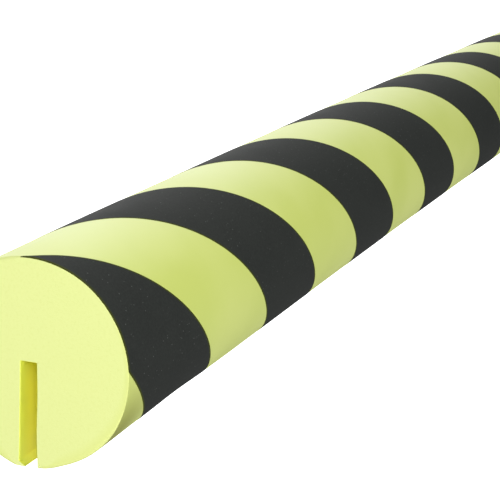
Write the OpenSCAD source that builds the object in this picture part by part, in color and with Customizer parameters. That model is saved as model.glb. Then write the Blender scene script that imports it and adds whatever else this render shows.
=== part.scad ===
// Round foam guard that is pushed over the edge of a panel or shelf.
// The foam is one long moulding with a slot up to the middle of its round section.
// Black warning bands are printed on the round surface and wind along it as a helix.
// The guard lies along Y and its slot opens down. The origin is half way along,
// on the axis of the round, where the edge of the panel seats.
// All sizes are in millimetres and all angles in degrees.

/* [Foam round] */
// Outside diameter of the foam
guard_d = 60; // [44:1:90]
// Length of the guard
guard_l = 1000; // [300:10:2000]

/* [Panel slot] */
// Width of the slot at the seat for the panel's edge
seat_w = 5; // [3:0.5:8]
// How much each wall of the slot leans away from the panel, from the seat to the mouth
wall_lean_w = 0.5; // [0.1:0.1:1.5]
// Depth of the slot, up from the lowest point of the round
slot_depth = 30; // [15:1:34]
// Radius of the two inner corners beside the seat
seat_corner_r = 0.3; // [0.2:0.1:1.2]

/* [Slot lips] */
// Radius on the plain lip, between the slot and the round surface
lip_round_r = 0.5; // [0.3:0.1:3]
// How far the thin lip on the other side reaches into the mouth
lip_reach = 1.8; // [0.5:0.1:3]
// Thickness of the thin lip where it leaves the wall of the slot
lip_root_t = 0.9; // [0.6:0.1:3]
// Thickness of the thin lip at its free edge
lip_edge_t = 0.3; // [0.1:0.05:0.5]

/* [Printed bands] */
// Thickness of the black print on the foam
print_t = 0.3; // [0.2:0.05:1]
// Angle of the bands to a ring around the foam
band_angle = 45; // [25:1:60]
// Number of black bands that a ring around the foam crosses
band_starts = 2; // [1:1:4]
// Share of the round surface that is black
black_share = 0.5; // [0.2:0.05:0.8]
// Where the first black band ends along the top, from the near end
first_band_end = 2; // [0:1:60]
// Bare foam between the middle of the mouth and the print, along the surface
bare_by_mouth = 6; // [6:0.5:20]

/* [Hidden] */

$fn = 144;
// How far a cutting shape runs past what it cuts
overrun = 1;
// How far a small radius runs into the surfaces that it rounds, for a clean edge there
bite = 0.01;
// Longest turn of one straight piece of a band's edge
band_step = 8;
foam_colour = "#e6f29a";
print_colour = "#333533";

guard_r = guard_d / 2;
print_r = guard_r + print_t;
seat_z = slot_depth - guard_r;

// Directions on the right wall of the slot, seen from the near end
wall_lean = atan(wall_lean_w / slot_depth);
wall_down = [sin(wall_lean), -cos(wall_lean)];
into_foam = [cos(wall_lean), sin(wall_lean)];
seat_edge = [seat_w / 2, seat_z];
mouth_out = seat_edge + (slot_depth + overrun) * wall_down;

// Distance from a start point, along a unit direction, to a circle around the origin
function reach(start, direction, radius) =
    let (along = start * direction)
    sqrt(along * along - start * start + radius * radius) - along;

// The radius beside the seat touches the seat and the wall
seat_corner = [
    seat_edge.x - seat_corner_r * (1 - sin(wall_lean)) / cos(wall_lean),
    seat_z - seat_corner_r
];

// The radius on the plain lip touches the wall and the round
mouth_edge = seat_edge + reach(seat_edge, wall_down, guard_r) * wall_down;
lip_line = seat_edge + lip_round_r * into_foam;
lip_centre = lip_line + reach(lip_line, wall_down, guard_r - lip_round_r) * wall_down;

// The thin lip leaves the wall above the mouth and ends in a narrow upright edge
thin_root = mouth_edge - lip_root_t * wall_down;
thin_edge_x = mouth_edge.x - lip_reach;
thin_edge_z = lip_edge_t - sqrt(guard_r * guard_r - thin_edge_x * thin_edge_x);

// The bands close on themselves around the foam, so a turn advances whole pitches
turn_advance = PI * guard_d * tan(band_angle);
band_pitch = turn_advance / band_starts;
band_len = black_share * band_pitch;
print_half_turn = 180 - bare_by_mouth / guard_r * 180 / PI;
half_advance = turn_advance * print_half_turn / 360;
near_end = -guard_l / 2;
first_band = floor(-(first_band_end + half_advance) / band_pitch) + 1;
last_band = ceil((guard_l + half_advance + band_len - first_band_end) / band_pitch) - 1;

// What a corner has outside its radius. The two unit directions point from the centre
// of the radius to the two surfaces that it touches.
module outside_radius(centre, radius, toward_a, toward_b) {
    side = radius + overrun;
    difference() {
        polygon([
            centre,
            centre + side * toward_a,
            centre + side * (toward_a + toward_b) / (1 + toward_a * toward_b),
            centre + side * toward_b
        ]);
        translate(centre) circle(radius + bite);
    }
}

// What the slot takes out of the round section
module slot_section() {
    difference() {
        polygon([
            seat_edge, mouth_out,
            [-mouth_out.x, mouth_out.y], [-seat_edge.x, seat_edge.y]
        ]);
        for (side = [0, 1]) mirror([side, 0])
            outside_radius(seat_corner, seat_corner_r, [0, 1], into_foam);
        mirror([1, 0]) polygon([
            thin_root,
            [thin_edge_x, thin_edge_z],
            [thin_edge_x, mouth_out.y - overrun],
            [mouth_out.x + overrun, mouth_out.y - overrun],
            [mouth_out.x + overrun, thin_root.y]
        ]);
    }
}

module foam_section() {
    difference() {
        circle(guard_r);
        slot_section();
        outside_radius(lip_centre, lip_round_r, -into_foam, lip_centre / norm(lip_centre));
    }
}

// The foam moulding, cut square at both ends
module foam_profile() {
    color(foam_colour) rotate([90, 0, 0]) linear_extrude(guard_l, center = true) foam_section();
}

// Tube that holds all the print: it starts on the foam and ends with it
module print_tube() {
    rotate([90, 0, 0]) linear_extrude(guard_l, center = true) difference() {
        circle(print_r);
        circle(guard_r);
    }
}

// One band's ribbon, from one side of the mouth over the top to the other side.
// It runs a little inside and outside the print, and top_y is where it starts on the top line.
module band_ribbon(top_y) {
    steps = ceil(2 * print_half_turn / band_step);
    corners = [
        [guard_r - overrun, 0], [print_r + overrun, 0],
        [print_r + overrun, band_len], [guard_r - overrun, band_len]
    ];
    points = [
        for (i = [0:steps]) let (turn = print_half_turn * (2 * i / steps - 1))
        for (c = corners) [c[0] * sin(turn), top_y + turn_advance * turn / 360 + c[1], c[0] * cos(turn)]
    ];
    sides = [
        for (i = [0:steps - 1]) for (j = [0:3]) let (k = (j + 1) % 4)
        [4 * i + j, 4 * i + k, 4 * i + 4 + k, 4 * i + 4 + j]
    ];
    polyhedron(points, concat([[3, 2, 1, 0]], sides, [[for (j = [0:3]) 4 * steps + j]]));
}

// The black print, one band after another along the foam
module black_bands() {
    color(print_colour) for (i = [first_band:last_band]) intersection() {
        print_tube();
        band_ribbon(near_end + first_band_end - band_len + i * band_pitch);
    }
}

foam_profile();
black_bands();
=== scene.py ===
import math

import bpy
import numpy as np
from mathutils import Matrix, Vector


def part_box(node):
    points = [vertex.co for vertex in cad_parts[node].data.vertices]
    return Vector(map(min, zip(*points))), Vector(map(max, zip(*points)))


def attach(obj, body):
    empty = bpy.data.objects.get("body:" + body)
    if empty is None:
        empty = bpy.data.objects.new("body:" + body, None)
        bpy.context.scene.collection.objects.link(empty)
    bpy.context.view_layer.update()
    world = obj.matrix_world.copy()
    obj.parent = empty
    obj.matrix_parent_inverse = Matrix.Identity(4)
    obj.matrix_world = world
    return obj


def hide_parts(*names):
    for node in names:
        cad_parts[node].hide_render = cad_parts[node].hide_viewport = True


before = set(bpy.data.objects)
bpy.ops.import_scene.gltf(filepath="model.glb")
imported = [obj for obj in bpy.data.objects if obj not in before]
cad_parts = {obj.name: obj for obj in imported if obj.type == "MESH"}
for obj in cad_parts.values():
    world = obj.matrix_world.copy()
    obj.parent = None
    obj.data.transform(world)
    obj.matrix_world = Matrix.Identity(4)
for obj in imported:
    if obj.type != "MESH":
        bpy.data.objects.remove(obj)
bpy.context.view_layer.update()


# Foam moulding
# The guard's body is one round moulding of soft yellow-green foam with a closed skin, cut square
# by a knife at both ends. The slot below, with its two lips, holds it on the edge of a panel.

MM = 0.001
foam_low, foam_high = (np.array(corner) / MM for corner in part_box("foam_profile"))
near_y, far_y = foam_low[1], foam_high[1]
foam_r = foam_high[2]

# The slot and its lips in millimetres: the thin lip is on the left, seen from the near end
seat_half = 2.5
seat_corner_r = 0.25
wall_lean = math.atan(0.5 / 30)
plain_lip_r = 0.8
thin_lip_x = -1.197
thin_lip_edge = 0.3
thin_lip_root = 1.8
lip_root_r = 0.25
lip_edge_r = 0.1

# Factors of the rising powers of the share of the length, in millimetres
bend_mm = (0.96, -55.07, 226.13, -271.28, 101.78)

# How far the knife has dragged the lower edge of each cut end, in millimetres
near_drag, far_drag = 1.05, 0.4
# Radii of the cut edges in the slot and on the thin lip, which the knife leaves almost crisp
slot_cut_r, lip_cut_r = 0.25, 0.07

# The tinted rim of a cut end, from inside: share of its width, and strength of the tint
rim_rings = ((1, 0), (0.5, 0.5), (0.25, 0.8))
# The rounded edge of a cut end, from the cut to the skin: degrees round the edge, how much the
# cells still show, and how much of the slot's colour, which is painted bounce light
edge_rings = (
    (0, 1, 0), (18, 0.98, 0.4), (36, 0.95, 0.7),
    (54, 0.9, 0.85), (72, 0.8, 0.95), (90, 0, 1),
)


def smooth(start, end, value):
    """Eases from 0 where the value is start to 1 where it is end"""
    share = np.clip((value - start) / (end - start), 0, 1)
    return share * share * (3 - 2 * share)


def hill(distance, width, power=2):
    """1 where the distance is 0, and almost 0 from twice the width on"""
    return np.exp(-((distance / width) ** power))


def axis_bend(y):
    """How far the soft foam wanders sideways at y, all in millimetres"""
    share = np.clip((y - near_y) / (far_y - near_y), 0, 1)
    return sum(part * share ** (power + 1) for power, part in enumerate(bend_mm))


def swell(turn, y):
    """How far the skin stands off the plain round. The two legs beside the mouth swell past it,
    the left one more. The knife has pushed the cut ends down a little, the underside dips
    behind them, and from there on the foam is a little thicker."""
    from_mouth = foam_r * np.radians(180 - np.abs(turn))
    from_cut = np.minimum(y - near_y, far_y - y)
    cut_end = hill(from_cut, 24)
    left = (0.4 + 0.6 * cut_end) * hill(from_mouth, 9.5, 4) * smooth(1.6, 3.4, from_mouth)
    right = (0.3 + 0.4 * cut_end) * hill(from_mouth, 7.6, 4)
    legs = np.where(turn < 0, left + 0.35 * smooth(3.4, 1.6, from_mouth), right)
    pushed_down = 0.22 * hill(from_cut, 18) * np.cos(np.radians(turn))
    dip = 0.36 * hill(from_cut - 54, 17) - 0.07 * smooth(70, 100, from_cut)
    underside = (0.12 * hill(from_cut, 18) - dip) * smooth(96, 130, np.abs(turn))
    thicker = 0.12 * smooth(15, 70, from_cut)
    return legs - pushed_down + underside + thicker


def cut_edge_r(turn, drag):
    """Radius of the edge between the round and a cut end: crisp at the sides, rounded on top
    where the blade enters, pressed in left of the top, and dragged below"""
    crisp = 0.14
    entry = 0.4 * (1 - smooth(8, 44, np.abs(turn)))
    pressed = 0.45 * smooth(-5, -14, turn) * smooth(-70, -40, turn)
    return crisp + entry + pressed + drag * smooth(104, 138, np.abs(turn))


def arc(centre, radius, start, end, count):
    """Points on an arc, by angles from straight up towards +X"""
    turn = np.radians(np.linspace(start, end, count))
    return np.stack([centre[0] + radius * np.sin(turn), centre[1] + radius * np.cos(turn)], 1)


def line(start, end, count):
    """Points strictly between two ends"""
    share = np.linspace(0, 1, count + 2)[1:-1, None]
    return np.asarray(start) * (1 - share) + np.asarray(end) * share


def fillet(before, corner, after, radius, count):
    """Points that round a corner between two straight stretches"""
    before, corner, after = (np.asarray(point, float) for point in (before, corner, after))
    back = (before - corner) / np.linalg.norm(before - corner)
    ahead = (after - corner) / np.linalg.norm(after - corner)
    half = math.acos(np.clip(back @ ahead, -1, 1)) / 2
    middle = (back + ahead) / np.linalg.norm(back + ahead)
    centre = corner + middle * radius / math.sin(half)
    start, end = (corner + way * radius / math.tan(half) - centre for way in (back, ahead))
    share = np.linspace(0, 1, count)[:, None]
    sweep = math.pi - 2 * half
    swept = start * np.sin((1 - share) * sweep) + end * np.sin(share * sweep)
    return centre + swept / math.sin(sweep)


# The right wall of the slot in X and Z, from the seat down. The left wall mirrors it.
wall_down = np.array([math.sin(wall_lean), -math.cos(wall_lean)])
into_foam = np.array([math.cos(wall_lean), math.sin(wall_lean)])
seat_right = np.array([seat_half, 0.0])
mirror = np.array([-1, 1])


def reach(start, radius):
    """Where a line down the wall from a start meets a circle round the axis"""
    along = start @ wall_down
    return start + (math.sqrt(along**2 - start @ start + radius**2) - along) * wall_down


mouth_right = reach(seat_right, foam_r)
lip_centre = reach(seat_right + plain_lip_r * into_foam, foam_r - plain_lip_r)
thin_root = (mouth_right - thin_lip_root * wall_down) * mirror


def foam_outline():
    """The section's outline in X and Z, clockwise seen from the near end: round the skin, up
    the right wall, over the seat, down the left wall and round the thin lip"""
    seat_left = -seat_right
    below_seat = seat_right + seat_corner_r * wall_down
    lip_turn = math.degrees(math.atan2(lip_centre[0], lip_centre[1]))
    wall_turn = 270 - math.degrees(wall_lean)
    foot = np.array([thin_lip_x, -math.sqrt(foam_r**2 - thin_lip_x**2)])
    top = foot + [0, thin_lip_edge]
    foot_turn = -180 + math.degrees(math.asin(-thin_lip_x / foam_r))
    # The foot of the thin lip's edge flares by its radius towards this point
    flare = arc((-0.1, 0), foam_r, foot_turn - 0.7, foot_turn - 0.7, 1)[0]
    stretches = [
        arc((0, 0), foam_r, foot_turn + 0.7, lip_turn, 178),
        arc(lip_centre, plain_lip_r, lip_turn, wall_turn, 9)[1:],
        line(lip_centre - plain_lip_r * into_foam, below_seat, 11),
        fillet(mouth_right, seat_right, seat_left, seat_corner_r, 6),
        line((seat_half - seat_corner_r, 0), (seat_corner_r - seat_half, 0), 2),
        fillet(seat_right, seat_left, mouth_right * mirror, seat_corner_r, 6),
        line(below_seat * mirror, thin_root - lip_root_r * wall_down * mirror, 11),
        fillet(seat_left, thin_root, top, lip_root_r, 6),
        line(thin_root + (top - thin_root) * 0.5, top - (top - thin_root) * 0.1, 2),
        fillet(thin_root, top, foot, lip_edge_r, 4),
        fillet(top, foot, flare, lip_edge_r, 4),
    ]
    return np.concatenate(stretches)


def slot_marks(outline):
    """How deep each point of the section lies in the slot, from 0 on the round to 1, which sets its
    share of the slot's painted bounce light, and a mark for the thin lip: 1 on top of it, where it
    is painted lighter to stand in for light falling on it, and -1 on its free edge, where painted
    shade darkens it"""
    x, z = outline.T
    in_slot = (np.abs(x) < 3.3) & (z < 0.1)
    on_lip = in_slot & (x < 0) & (z < thin_root[1] - 0.02)
    depth = np.where(in_slot, smooth(-foam_r, 2.2 - foam_r, z), 0)
    # The thin lip takes a large share of the slot's painted bounce light, so that it is painted
    # lighter
    depth = np.where(on_lip, 0.75, depth)
    lip = np.where(on_lip, np.where(np.abs(x - thin_lip_x) < 0.04, -1, 1), 0)
    return depth, lip


def slot_sway(outline):
    """The section with its slot as on the real guard: left of the middle, more so at the mouth,
    where the foam has closed in from the right, and with its seat a little higher"""
    x, z = outline.T
    near_slot = (1 - smooth(3.6, 8, np.abs(x))) * (z < 1)
    on_seat = (1 - smooth(2.6, 2.8, np.abs(x))) * smooth(-2, -0.5, z) * (z < 1)
    closed = 0.5 * smooth(-6, -22, z) * (x > 0)
    left = 0.25 - 0.25 * z / foam_r + closed
    return np.stack([x - left * near_slot, z + 0.2 * on_seat], 1)


def outward(outline):
    """The direction out of the foam at each point of the outline"""
    along = np.roll(outline, -1, 0) - np.roll(outline, 1, 0)
    along /= np.linalg.norm(along, axis=1)[:, None]
    return np.stack([-along[:, 1], along[:, 0]], 1)


def turn_of(outline):
    """Degrees from straight up to each point of the outline, towards +X"""
    return np.degrees(np.arctan2(outline[:, 0], outline[:, 1]))


def blend(values):
    """The mean of each value and its two neighbours round the section"""
    return (np.roll(values, 1) + values + np.roll(values, -1)) / 3


def at_y(outline, y):
    """The section's points in X, Y and Z, at one y or each at its own"""
    return np.insert(outline, 1, y, axis=1)


def cut_rings(outline, depth, end_y, way, drag):
    """Rings of points from inside the rim of a cut end, over its rounded edge to the skin, and
    for each ring the marks cut, edge and slot. Away from the top the knife has drawn the cells
    over the edge. Beside the slot the rim is almost nothing."""
    x, z = outline.T
    turn = turn_of(outline)
    out = outward(outline)
    beside_slot = (np.abs(x) < 6) & (z < 3)
    on_thin_lip = (x > -3.4) & (x < 0) & (z < -27)
    drawn = np.where(beside_slot & (np.abs(x) < 4), 0, smooth(44, 80, np.abs(turn)))
    least_rim = 0.05
    rim_w = np.where(beside_slot, least_rim, 1.0 + 1.6 * smooth(70, 120, np.abs(turn)))
    for _ in range(12):
        rim_w = np.where(beside_slot, least_rim, blend(rim_w))
    edge_r = np.where(depth > 0.02, slot_cut_r, cut_edge_r(turn, drag))
    edge_r = np.where(on_thin_lip, lip_cut_r, edge_r)
    for _ in range(3):
        edge_r = np.minimum(edge_r, blend(edge_r))
    rings, marks = [], []
    for share, tint in rim_rings:
        inset = edge_r + rim_w * share
        rings.append(at_y(outline - out * inset[:, None], end_y))
        marks.append((np.ones(len(x)), tint * drawn, np.zeros(len(x))))
    for degrees, cells, slot in edge_rings:
        step = math.radians(degrees)
        inset = edge_r * (1 - math.sin(step))
        y = end_y + way * edge_r * (1 - math.cos(step))
        rings.append(at_y(outline - out * inset[:, None], y))
        marks.append((cells * drawn + math.cos(step) * (1 - drawn), cells * drawn, depth * slot))
    return rings, marks


def tube_faces(first, count, rings, clockwise):
    """Faces of a tube of rings with count points each, numbered from first on, and of its two
    closed ends. Clockwise says how the rings run, seen from the first one's side."""
    last = first + (rings - 1) * count
    faces = []
    for start in range(first, last, count):
        for i in range(count):
            a, b = start + i, start + (i + 1) % count
            faces.append((a, a + count, b + count, b) if clockwise else (a, b, b + count, a + count))
    ends = [tuple(range(first, first + count)), tuple(reversed(range(last, last + count)))]
    return faces + (ends if clockwise else [end[::-1] for end in ends])


def new_mesh(name, points, faces, **marks):
    """A mesh object in metres from points in millimetres, with one value a point in each mark"""
    mesh = bpy.data.meshes.new(name)
    mesh.from_pydata((np.asarray(points) * MM).tolist(), [], faces)
    mesh.shade_smooth()
    for mark, values in marks.items():
        attribute = mesh.attributes.new(mark, "FLOAT", "POINT")
        attribute.data.foreach_set("value", np.asarray(values, "f"))
    made = bpy.data.objects.new(name, mesh)
    bpy.context.scene.collection.objects.link(made)
    return made


def foam_mesh():
    """The moulding as a tube of rings from one cut end to the other, swollen and bent"""
    plain = foam_outline()
    depth, lip = slot_marks(plain)
    outline = slot_sway(plain)
    steps = [3, 6, 9, 12.5, 16, 20, 25]
    along = np.concatenate([
        near_y + np.array([1.6, *steps]),
        np.linspace(near_y + 30, far_y - 30, 176),
        far_y - np.array([*steps[::-1], 1.7]),
    ])
    near_rings, near_marks = cut_rings(outline, depth, near_y, 1, near_drag)
    far_rings, far_marks = cut_rings(outline, depth, far_y, -1, far_drag)
    # The edge mark also paints the top of the thin lip lighter, as painted light
    skin_marks = (np.zeros(len(outline)), 0.9 * np.maximum(lip, 0), depth)
    rings = near_rings + [at_y(outline, y) for y in along] + far_rings[::-1]
    marks = near_marks + [skin_marks] * len(along) + far_marks[::-1]
    cut, edge, slot = (np.concatenate(values) for values in zip(*marks))
    points = np.concatenate(rings)
    turn = np.tile(turn_of(outline), len(rings))
    from_cut = np.minimum(points[:, 1] - near_y, far_y - points[:, 1])
    # Painted shade: the drag mark darkens the skin on the underside near each cut end
    dragged = smooth(85, 128, np.abs(turn)) * smooth(26, 4, from_cut)
    # Painted shade: the thin lip's free edge is darkened like the underside near the cut ends
    lip_edge_painted_shade = np.tile(lip < 0, len(rings))
    # The skin swells away from the axis, and the walls of the slot stay
    radius = np.linalg.norm(outline, axis=1)
    away = outline * (np.clip((radius - 24) / 5, 0, 1) / np.maximum(radius, 1))[:, None]
    points[:, [0, 2]] += np.tile(away, (len(rings), 1)) * swell(turn, points[:, 1])[:, None]
    points[:, 0] += axis_bend(points[:, 1])
    made = new_mesh(
        "foam_moulding", points, tube_faces(0, len(outline), len(rings), clockwise=True),
        cut=cut, edge=edge, slot=slot,
        deep=smooth(0, 6, from_cut), drag=np.maximum(dragged, lip_edge_painted_shade),
    )
    for face in made.data.polygons[-2:]:
        face.use_smooth = False
    return made


class Wire:
    """A socket of a material's nodes. Arithmetic on it adds Math nodes, node() adds any other."""

    def __init__(self, tree, socket=None):
        self.tree, self.socket = tree, socket

    def node(self, kind, settings=None, values=None, out=0):
        """Adds a node: its settings first, then a number or a wire for each of its sockets"""
        made = self.tree.nodes.new("ShaderNode" + kind)
        for name, setting in (settings or {}).items():
            setattr(made, name, setting)
        for name, value in (values or {}).items():
            if isinstance(value, Wire):
                self.tree.links.new(value.socket, made.inputs[name])
            else:
                made.inputs[name].default_value = value
        return Wire(self.tree, made.outputs[out] if made.outputs else None)

    def maths(self, operation, *values):
        return self.node("Math", {"operation": operation}, dict(enumerate(values)))

    def __add__(self, other):
        return self.maths("ADD", self, other)

    def __sub__(self, other):
        return self.maths("SUBTRACT", self, other)

    def __rsub__(self, other):
        return self.maths("SUBTRACT", other, self)

    def __mul__(self, other):
        return self.maths("MULTIPLY", self, other)

    __radd__, __rmul__ = __add__, __mul__

    def ease(self, low, high):
        """Eases from 0 where the value is low to 1 where it is high"""
        return self.node(
            "MapRange", {"interpolation_type": "SMOOTHSTEP"},
            {"Value": self, "From Min": low, "From Max": high},
        )

    def mark(self, name):
        """The value of one of the mesh's marks"""
        return self.node("Attribute", {"attribute_name": name}, out=2)

    def noise(self, place, size_mm, detail):
        """Noise with features of about this size"""
        values = {"Vector": place, "Scale": 1 / (size_mm * MM), "Detail": detail}
        return self.node("TexNoise", {}, values)

    def cells(self, place, size_mm, out=0):
        """Round cells of about this size: the distance from the middle of each, or its colour"""
        return self.node("TexVoronoi", {}, {"Vector": place, "Scale": 1 / (size_mm * MM)}, out)

    def tint(self, share, first, second):
        """Mixes two colours by a share from 0 to 1"""
        return self.node("Mix", {"data_type": "RGBA"}, {0: share, 6: first, 7: second}, out=2)

    def bump(self, height, strength, depth_mm):
        """A normal for this height"""
        values = {"Height": height, "Strength": strength, "Distance": depth_mm * MM}
        return self.node("Bump", {}, values)


def new_finish(name):
    """An empty material and a wire into it"""
    made = bpy.data.materials.new(name)
    made.use_nodes = True
    made.node_tree.nodes.clear()
    return made, Wire(made.node_tree)


def foam_finish():
    """Satin skin with pale blotches and painted shade on its underside near the cut ends, fine open
    cells where it is cut, and a slot painted brighter and yellower as bounce light
    """
    made, wire = new_finish("yellow_foam")
    skin, skin_pale = (0.532, 0.609, 0.127, 1), (0.563, 0.635, 0.156, 1)
    # Painted shade: a dark skin colour for the underside near the cut ends and the thin lip's free
    # edge
    skin_painted_shade = (0.25, 0.268, 0.013, 1)
    cells_pale, cells_deep = (0.642, 0.703, 0.252, 1), (0.597, 0.658, 0.211, 1)
    cells_edge = (0.615, 0.673, 0.205, 1)
    # Painted bounce light: the slot is coloured far brighter than the skin, and brighter and more
    # orange further in from each cut end
    slot_mouth_painted_bounce, slot_deep_painted_bounce = (0.785, 0.855, 0.09, 1), (0.935, 0.893, 0.091, 1)
    place = wire.node("TexCoord", out=3)
    cut = wire.mark("cut")
    blotch = wire.noise(place, 38, 3).ease(0.35, 0.65)
    grain = wire.noise(place, 0.5, 3)
    dents = wire.noise(place, 6, 2)
    cell = wire.cells(place, 0.35)
    cell_tone = wire.noise(place, 0.8, 4).ease(0.45, 0.75)
    # The drag mark paints shade: it darkens the skin on the underside near the cut ends and on the
    # thin lip's free edge
    colour = wire.tint(wire.mark("drag"), wire.tint(blotch, skin, skin_pale), skin_painted_shade)
    colour = wire.tint(cut, colour, wire.tint(cell_tone * 0.5, cells_pale, cells_deep))
    colour = wire.tint(wire.mark("edge"), colour, cells_edge)
    slot_painted_bounce = wire.tint(wire.mark("deep"), slot_mouth_painted_bounce, slot_deep_painted_bounce)
    colour = wire.tint(wire.mark("slot"), colour, slot_painted_bounce)
    height = grain * (1 - cut) * 0.35 + cell * cut * 0.8 + dents * 0.6
    surface = wire.node("BsdfPrincipled", {}, {
        "Base Color": colour,
        "Roughness": 0.5 + 0.06 * blotch + 0.35 * cut,
        "IOR": 1.5,
        "Specular IOR Level": 1.06,
        "Normal": wire.bump(height, 0.25, 0.15),
    })
    wire.node("OutputMaterial", {}, {"Surface": surface})
    return made


foam = foam_mesh()
foam.data.materials.append(foam_finish())
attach(foam, "root")
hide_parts("foam_profile")


# Printed bands
# The warning bands are black ink printed on the skin of the foam before it is cut to length.
# They wind round it at 45 degrees, two to a ring, and stop short of the mouth.

bare_by_mouth = 6
print_turn = 180 - math.degrees(bare_by_mouth / foam_r)
turn_advance = 2 * math.pi * foam_r
band_pitch = turn_advance / 2
band_len = turn_advance / 4 + 0.45
first_band_end = 2.45
# The shortest stretch of a band beside a cut end
least_len = 0.12
# How far the ink stands proud of the skin, how deep its rim and its underside lie in the skin,
# and how wide its soft rim is
ink_proud, rim_sunk, ink_sunk, ink_soft = 0.07, 0.01, 0.05, 0.16

# Where points lie across a band: in millimetres in from each side, and as shares of the rest
brim = np.array([0, 0.08, 0.2, 0.34, 0.48, 0.62, 0.76, 0.9, 1.05])
inner = np.linspace(0, 1, 8)


def print_drift(turn, y):
    """How far along the foam the print has drifted from an exact helix, in millimetres"""
    along = y - near_y
    wave = 0.6 + 0.7 * np.cos(math.tau * (along - 43) / 450) + 0.35 * smooth(100, 350, along)
    sides = 1.26 * np.sin(np.radians(np.clip(turn, -90, 90))) ** 2
    return sides - wave - 5 * smooth(360, 560, along)


def ink_overlap(turn, drag):
    """How far past the plane of a cut end the print reaches, measured along the skin. From the
    top to the right it goes about half way round the cut edge. Elsewhere it stops short."""
    cover = (0.65 - 0.15 * smooth(12, 40, np.abs(turn))) * (1 - smooth(100, 112, np.abs(turn)))
    cover = cover * (1 - smooth(-4, -10, turn))
    return cut_edge_r(turn, drag) * (math.pi / 2 * cover - 1)


def on_skin(turn, y, lift):
    """The point over the skin at this turn from the top and this y, round the cut edges too,
    standing proud by lift"""
    skin_r = foam_r + swell(turn, y)
    y_out = y
    radial = skin_r + lift
    for end_y, way, drag in ((near_y, 1, near_drag), (far_y, -1, far_drag)):
        edge_r = cut_edge_r(turn, drag)
        past = (y - end_y) * way
        tip = np.clip((past - edge_r + edge_r * math.pi / 2) / edge_r, 0, math.pi / 2)
        on_edge = past < edge_r
        radial = np.where(on_edge, skin_r - edge_r + (edge_r + lift) * np.sin(tip), radial)
        y_out = np.where(on_edge, end_y + way * (edge_r - (edge_r + lift) * np.cos(tip)), y_out)
    angle = np.radians(turn)
    return np.stack([radial * np.sin(angle) + axis_bend(y_out), y_out, radial * np.cos(angle)], -1)


def band_limits(start, turn):
    """Where a band that starts at this y on the top line begins and ends at a turn from it. The
    bands are a little wider at the sides and narrower far along, and the first one's end is
    drawn out just left of the top."""
    helix = start + turn_advance * turn / 360
    begin = helix + print_drift(turn, helix + band_len / 2)
    along = begin + band_len / 2 - near_y
    sides = 0.28 * np.sin(np.radians(turn)) ** 2
    wider = sides - 0.75 * smooth(305, 345, along) - 0.9 * smooth(380, 430, along)
    drawn_out = 1.3 * hill(turn + 6, 5) * smooth(-12, -22, along)
    low = np.maximum(begin - wider, near_y - ink_overlap(turn, near_drag))
    high = np.minimum(begin + band_len + wider + drawn_out, far_y + ink_overlap(turn, far_drag))
    return low, high


def band_turns(start):
    """The turns at which a band has a ring of points, as far as the cut ends leave any of it"""
    turns = np.linspace(-print_turn, print_turn, 1600)
    low, high = band_limits(start, turns)
    first, last = turns[high - low > least_len][[0, -1]]
    turns = np.linspace(first, last, max(4, math.ceil((last - first) / 1.6)))
    return np.sort(np.concatenate([turns, first + [0.25, 0.6], last - [0.25, 0.6]]))


def band_ring(start, turn):
    """A ring of points across a band, over its top and back under the skin, and how far each
    one lies from the band's rim"""
    low, high = band_limits(start, turn)
    soft = min(ink_soft, (high - low) / 6)
    edge = min(1, (high - low) / 3) * brim
    between = low + edge[-1] + 0.2 * soft + (high - low - 2 * edge[-1] - 0.4 * soft) * inner
    y = np.concatenate([low + edge, between, high - edge[::-1]])
    from_side = np.minimum(y - low, high - y)
    from_end = math.radians(min(turn + print_turn, print_turn - turn)) * foam_r
    rise = np.minimum(from_side / soft, from_end / ink_soft)
    lift = -rim_sunk + (ink_proud + rim_sunk) * np.sqrt(np.clip(rise, 0, 1))
    top = on_skin(turn, y, lift)
    under = on_skin(turn, y[-1] + (y[0] - y[-1]) * inner, -ink_sunk)
    from_rim = np.concatenate([np.minimum(from_side, from_end), 0 * inner])
    return np.concatenate([top, under]), from_rim


def band_mesh():
    """All the bands, each a closed tube of rings that are pressed flat on the skin"""
    half_advance = turn_advance * print_turn / 360
    first = math.floor(-(first_band_end + half_advance) / band_pitch) + 1
    last = math.ceil((far_y - near_y + half_advance + band_len - first_band_end) / band_pitch) - 1
    points, faces, rims = [], [], []
    for band in range(first, last + 1):
        start = near_y + first_band_end - band_len + band * band_pitch
        rings, from_rim = zip(*(band_ring(start, turn) for turn in band_turns(start)))
        count = len(rings[0])
        faces += tube_faces(len(points) * count, count, len(rings), clockwise=False)
        points += rings
        rims += from_rim
    return new_mesh("printed_bands", np.concatenate(points), faces, rim=np.concatenate(rims))


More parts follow.
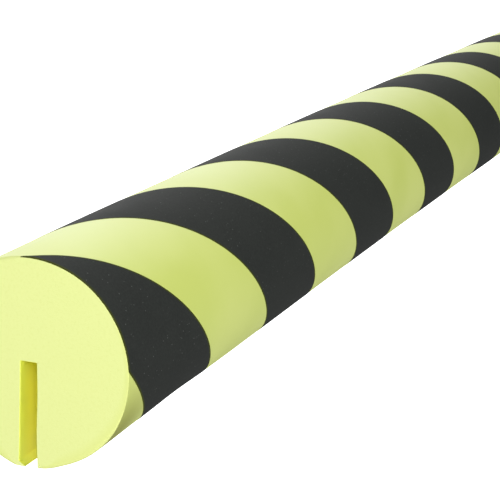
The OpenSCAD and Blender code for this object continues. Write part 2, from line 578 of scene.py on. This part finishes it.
def ink_finish():
    """Dull black ink, worn in clouds, with pale specks and foam showing through at the rim"""
    made, wire = new_finish("black_ink")
    ink, ink_worn = (0.0220, 0.0242, 0.0223, 1), (0.0291, 0.032, 0.029, 1)
    olive, speck_colour = (0.048, 0.058, 0.005, 1), (0.165, 0.177, 0.165, 1)
    place = wire.node("TexCoord", out=3)
    cloudy = wire.noise(place, 14, 4).ease(0.3, 0.75)
    grain = wire.noise(place, 0.7, 3)
    pores = grain.ease(0.4, 0.65)
    pick = wire.node("SeparateColor", {}, {0: wire.cells(place, 1.5, out=1)}).ease(0.3, 1.1)
    speck = (1 - wire.cells(place, 1.5).ease(0.07, 0.14)) * pick
    colour = wire.tint(0.35 * cloudy + 0.45 * pores, ink, ink_worn)
    colour = wire.tint(speck * 0.6, colour, speck_colour)
    colour = wire.tint((1 - wire.mark("rim").ease(0.2, 1.4)) * 0.9, colour, olive)
    height = grain * 0.7 + cloudy * 0.3 - speck
    surface = wire.node("BsdfPrincipled", {}, {
        "Base Color": colour,
        "Roughness": 0.66 + 0.05 * cloudy,
        "IOR": 1.45,
        "Specular IOR Level": 0.052,
        "Normal": wire.bump(height, 0.3, 0.12),
    })
    wire.node("OutputMaterial", {}, {"Surface": surface})
    return made


bands = band_mesh()
bands.data.materials.append(ink_finish())
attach(bands, "root")
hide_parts("black_bands")


# Studio
# The guard lies on a plain white table with a white sweep round it. Soft glows light it from
# behind and from in front, a large softbox from the right, and two small ones fill in.

# The table and its sweep are one surface round the guard, from radii and heights in metres
table_gap = 0.0006
floor_z = foam_low[2] * MM - table_gap
sweep_turns = np.radians(np.arange(0, 360, 7.5))
sweep_profile = [(0, 0), (4, 0), (5, 0.12), (5.7, 0.5), (6, 1.2), (6, 7)]
sweep_points = [
    (r * math.cos(turn), r * math.sin(turn), floor_z + z)
    for r, z in sweep_profile for turn in sweep_turns
]
# Both closed ends are left out, because the sweep is open at the top
sweep_faces = tube_faces(0, len(sweep_turns), len(sweep_profile), clockwise=False)[:-2]
sweep_mesh = bpy.data.meshes.new("white_table")
sweep_mesh.from_pydata(sweep_points, [], sweep_faces)
table = bpy.data.objects.new("white_table", sweep_mesh)
bpy.context.scene.collection.objects.link(table)
table_white, wire = new_finish("table_white")
shine = wire.node("Emission", {}, {"Color": (1, 1, 1, 1), "Strength": 2.0})
wire.node("OutputMaterial", {}, {"Surface": shine})
sweep_mesh.materials.append(table_white)
table.visible_diffuse = table.visible_glossy = table.visible_shadow = False

world = bpy.data.worlds.new("soft_room")
world.use_nodes = True
world.node_tree.nodes.clear()
bpy.context.scene.world = world
sky = Wire(world.node_tree)


def glow(strength, azimuth, elevation, sharpness):
    """A soft glow of the room from one side. Azimuth 0 is +Y and 90 is +X, in degrees."""
    across, rise = math.radians(azimuth), math.radians(elevation)
    side = (math.sin(across) * math.cos(rise), math.cos(across) * math.cos(rise), math.sin(rise))
    values = {0: sky.node("TexCoord"), 1: side}
    facing = sky.node("VectorMath", {"operation": "DOT_PRODUCT"}, values, out=1)
    return sky.maths("POWER", sky.maths("MAXIMUM", facing, 0), sharpness) * strength


high_behind = glow(3.98, -20, 50, 8) + glow(0.28, -60, 50, 8)
low_behind = glow(1.7, -32, 4, 16) + glow(1.38, -45, 20, 6) + glow(0.32, 20, -20, 10)
in_front = glow(1.0, 180, 30, 4) + glow(2.0, 180, -25, 4)
below = glow(0.6, 0, -90, 1)
room = high_behind + low_behind + in_front + below
sky.node("OutputWorld", {}, {"Surface": sky.node("Background", {}, {"Strength": room})})


lit_point = Vector((0, -0.3, 0))


def softbox(name, place, side, power):
    """A square area light at a place, aimed at the near half of the guard"""
    lamp = bpy.data.lights.new(name, "AREA")
    lamp.shape = "SQUARE"
    lamp.size = side
    lamp.energy = power
    made = bpy.data.objects.new(name, lamp)
    made.location = place
    made.rotation_euler = (lit_point - Vector(place)).to_track_quat("-Z", "Y").to_euler()
    bpy.context.scene.collection.objects.link(made)


softbox("right_softbox", (1.5, -0.3, 0.1), 0.8, 10.4)
softbox("low_softbox", (0.7, -0.7, -0.2), 0.4, 1.4)
softbox("camera_softbox", (0.35, -1.15, 0.45), 0.3, 4.3)

# The camera stands to the right of the near end and looks along the guard, as in the photo
right = (0.9282, 0.3713, 0.0240)
up = (-0.1157, 0.2267, 0.9671)
back = (0.3536, -0.9004, 0.2534)
camera_place = (0.208068, -0.867689, 0.142818)
lens = bpy.data.cameras.new("camera")
lens.sensor_width = 36
lens.lens = 116.648
lens.clip_end = 50
camera = bpy.data.objects.new("camera", lens)
turned = Matrix((right, up, back)).transposed()
camera.matrix_world = Matrix.Translation(camera_place) @ turned.to_4x4()
bpy.context.scene.collection.objects.link(camera)
bpy.context.scene.camera = camera
bpy.context.scene.view_settings.view_transform = "Standard"
